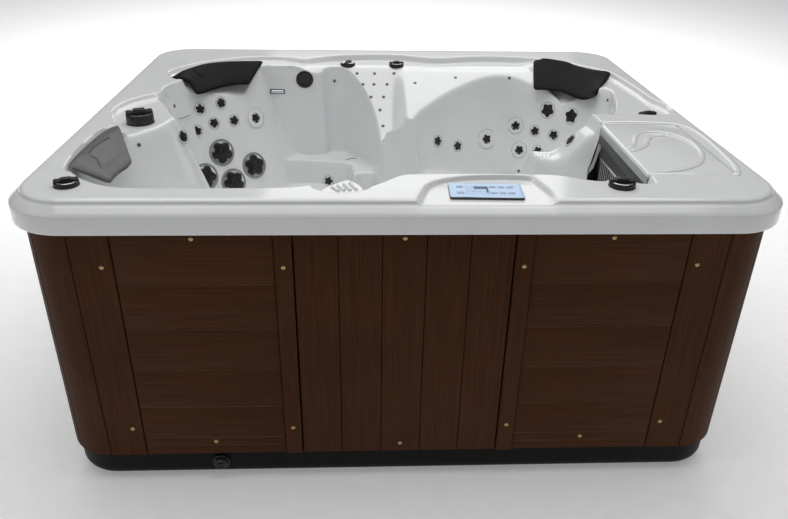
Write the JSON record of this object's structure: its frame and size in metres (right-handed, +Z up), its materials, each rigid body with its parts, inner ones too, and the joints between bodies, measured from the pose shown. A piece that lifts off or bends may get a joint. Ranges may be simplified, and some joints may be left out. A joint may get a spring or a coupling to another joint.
{
  "type": "hot tub",
  "caption": "Rectangular portable hot tub: white moulded shell with shaped seats and footwell, headrests, jets, keypad and skimmer, in a dark wood-effect cabinet on a black base pan.",
  "frame": {"origin": "centre of the footprint on the floor the tub stands on", "axes": "+X to the right along the long side seen from the front (the control panel's side), +Y to the back, +Z up"},
  "size_m": [2, 1.74, 0.9323],
  "materials": {
    "acrylic": "high gloss white acrylic, polished, with soft grey shading",
    "woodgrain": "very dark reddish-brown wood-effect cladding with fine grain along each board",
    "black": "satin black moulded plastic",
    "grey": "satin grey moulded plastic",
    "foam": "moulded closed-cell foam with a skin, dark grey with a soft sheen",
    "film": "pale blue gloss film over the keypad",
    "timber": "planed softwood",
    "steel": "bright chrome",
    "paper": "pleated polyester filter fabric"
  },
  "bodies": {
    "tub": {"tub_shell": "acrylic", "base_pan": "black", "filter_housing": "black", "supply_cable_gland": "black", "jet_pump_1": "black", "jet_pump_2": "black", "air_blower": "black", "suction_fitting_1": "grey", "suction_fitting_2": "grey", "footwell_drain_grate": "grey", "skimmer_grille": "grey", "control_box": "grey", "waterfall_spout": "steel", "heater_tube": "steel", "control_panel": "film", "headrest_back_left": "foam", "headrest_back_right": "foam", "headrest_front_left": "foam", "support_frame": "timber", "front_left_plank_panel": "woodgrain", "front_middle_panel": "woodgrain", "front_right_plank_panel": "woodgrain", "right_left_plank_panel": "woodgrain", "right_middle_panel": "woodgrain", "right_right_plank_panel": "woodgrain", "back_left_plank_panel": "woodgrain", "back_middle_panel": "woodgrain", "back_right_plank_panel": "woodgrain", "left_left_plank_panel": "woodgrain", "left_middle_panel": "woodgrain", "left_right_plank_panel": "woodgrain", "front_left_corner_panel": "woodgrain", "front_right_corner_panel": "woodgrain", "back_right_corner_panel": "woodgrain", "back_left_corner_panel": "woodgrain"},
    "big_jet_face_1": {"big_jet_face_1": "black"},
    "big_jet_face_2": {"big_jet_face_2": "black"},
    "big_jet_face_3": {"big_jet_face_3": "black"},
    "big_jet_face_4": {"big_jet_face_4": "black"},
    "medium_jet_face_1": {"medium_jet_face_1": "black"},
    "medium_jet_face_2": {"medium_jet_face_2": "black"},
    "neck_jet_face": {"neck_jet_face": "black"},
    "diverter_knob_left": {"diverter_knob_left": "black"},
    "diverter_knob_front_left": {"diverter_knob_front_left": "black"},
    "diverter_knob_front_right": {"diverter_knob_front_right": "black"},
    "air_knob_back_left": {"air_knob_back_left": "black"},
    "air_knob_back_right": {"air_knob_back_right": "black"},
    "air_knob_right": {"air_knob_right": "black"},
    "panel_key_1": {"panel_key_1": "film"},
    "panel_key_2": {"panel_key_2": "film"},
    "panel_key_3": {"panel_key_3": "film"},
    "panel_key_4": {"panel_key_4": "film"},
    "panel_key_5": {"panel_key_5": "film"},
    "panel_key_6": {"panel_key_6": "film"},
    "panel_key_7": {"panel_key_7": "film"},
    "panel_key_8": {"panel_key_8": "film"},
    "skimmer_weir": {"skimmer_weir": "grey"},
    "filter_lid": {"filter_lid": "acrylic"},
    "filter_cartridge": {"filter_cartridge": "paper"},
    "drain_cap": {"drain_cap": "black"}
  },
  "joints": [
    {"name": "big_jet_1_turn", "type": "hinge", "parent": "tub", "child": "big_jet_face_1", "pos_m": [-0.66793, 0.33435, 0.59905], "axis": [0.6012, -0.7339, 0.3162], "range_deg": [0, 100]},
    {"name": "big_jet_2_turn", "type": "hinge", "parent": "tub", "child": "big_jet_face_2", "pos_m": [-0.55293, 0.39631, 0.52095], "axis": [0.6176, -0.7051, 0.3484], "range_deg": [0, 100]},
    {"name": "big_jet_3_turn", "type": "hinge", "parent": "tub", "child": "big_jet_face_3", "pos_m": [-0.72557, 0.25639, 0.52597], "axis": [0.59, -0.7312, 0.3424], "range_deg": [0, 100]},
    {"name": "big_jet_4_turn", "type": "hinge", "parent": "tub", "child": "big_jet_face_4", "pos_m": [-0.62774, 0.31427, 0.48105], "axis": [0.6012, -0.7339, 0.3162], "range_deg": [0, 100]},
    {"name": "medium_jet_1_turn", "type": "hinge", "parent": "tub", "child": "medium_jet_face_1", "pos_m": [0.65985, 0.44575, 0.7442], "axis": [-0.6588, -0.7031, 0.2676], "range_deg": [0, 100]},
    {"name": "medium_jet_2_turn", "type": "hinge", "parent": "tub", "child": "medium_jet_face_2", "pos_m": [0.73757, 0.36693, 0.7442], "axis": [-0.7514, -0.6031, 0.2676], "range_deg": [0, 100]},
    {"name": "neck_jet_turn", "type": "hinge", "parent": "tub", "child": "neck_jet_face", "pos_m": [-0.34522, 0.60342, 0.82581], "axis": [0.0308, -0.9974, 0.0652], "range_deg": [0, 100]},
    {"name": "diverter_left_turn", "type": "hinge", "parent": "tub", "child": "diverter_knob_left", "pos_m": [-0.812, -0.18009, 0.882], "axis": [0, 0, 1], "range_deg": [-90, 90]},
    {"name": "diverter_front_left_turn", "type": "hinge", "parent": "tub", "child": "diverter_knob_front_left", "pos_m": [-0.846, -0.74298, 0.898], "axis": [0, 0, 1], "range_deg": [-90, 90]},
    {"name": "diverter_front_right_turn", "type": "hinge", "parent": "tub", "child": "diverter_knob_front_right", "pos_m": [0.562, -0.74994, 0.898], "axis": [0, 0, 1], "range_deg": [-90, 90]},
    {"name": "air_back_left_turn", "type": "hinge", "parent": "tub", "child": "air_knob_back_left", "pos_m": [-0.165, 0.6612, 0.871], "axis": [0, 0, 1], "range_deg": [0, 150]},
    {"name": "air_back_right_turn", "type": "hinge", "parent": "tub", "child": "air_knob_back_right", "pos_m": [0.041, 0.65511, 0.871], "axis": [0, 0, 1], "range_deg": [0, 150]},
    {"name": "air_right_turn", "type": "hinge", "parent": "tub", "child": "air_knob_right", "pos_m": [0.863, -0.08961, 0.8795], "axis": [0, 0, 1], "range_deg": [0, 150]},
    {"name": "key_1_press", "type": "slide", "parent": "tub", "child": "panel_key_1", "axis": [0, 0, -1], "range_m": [0, 0.0008], "stiffness_N_per_m": 300},
    {"name": "key_2_press", "type": "slide", "parent": "tub", "child": "panel_key_2", "axis": [0, 0, -1], "range_m": [0, 0.0008], "stiffness_N_per_m": 300},
    {"name": "key_3_press", "type": "slide", "parent": "tub", "child": "panel_key_3", "axis": [0, 0, -1], "range_m": [0, 0.0008], "stiffness_N_per_m": 300},
    {"name": "key_4_press", "type": "slide", "parent": "tub", "child": "panel_key_4", "axis": [0, 0, -1], "range_m": [0, 0.0008], "stiffness_N_per_m": 300},
    {"name": "key_5_press", "type": "slide", "parent": "tub", "child": "panel_key_5", "axis": [0, 0, -1], "range_m": [0, 0.0008], "stiffness_N_per_m": 300},
    {"name": "key_6_press", "type": "slide", "parent": "tub", "child": "panel_key_6", "axis": [0, 0, -1], "range_m": [0, 0.0008], "stiffness_N_per_m": 300},
    {"name": "key_7_press", "type": "slide", "parent": "tub", "child": "panel_key_7", "axis": [0, 0, -1], "range_m": [0, 0.0008], "stiffness_N_per_m": 300},
    {"name": "key_8_press", "type": "slide", "parent": "tub", "child": "panel_key_8", "axis": [0, 0, -1], "range_m": [0, 0.0008], "stiffness_N_per_m": 300},
    {"name": "weir_swing", "type": "hinge", "parent": "tub", "child": "skimmer_weir", "pos_m": [0.6793, -0.4498, 0.656], "axis": [0, 1, 0], "range_deg": [0, 30]},
    {"name": "lid_lift", "type": "slide", "parent": "tub", "child": "filter_lid", "axis": [0, 0, 1], "range_m": [0, 0.3]},
    {"name": "cartridge_lift", "type": "slide", "parent": "tub", "child": "filter_cartridge", "axis": [0, 0, 1], "range_m": [0, 0.17]},
    {"name": "drain_cap_turn", "type": "hinge", "parent": "tub", "child": "drain_cap", "pos_m": [-0.524, -0.832, 0.062], "axis": [0, -1, 0], "range_deg": [0, 90]}
  ]
}
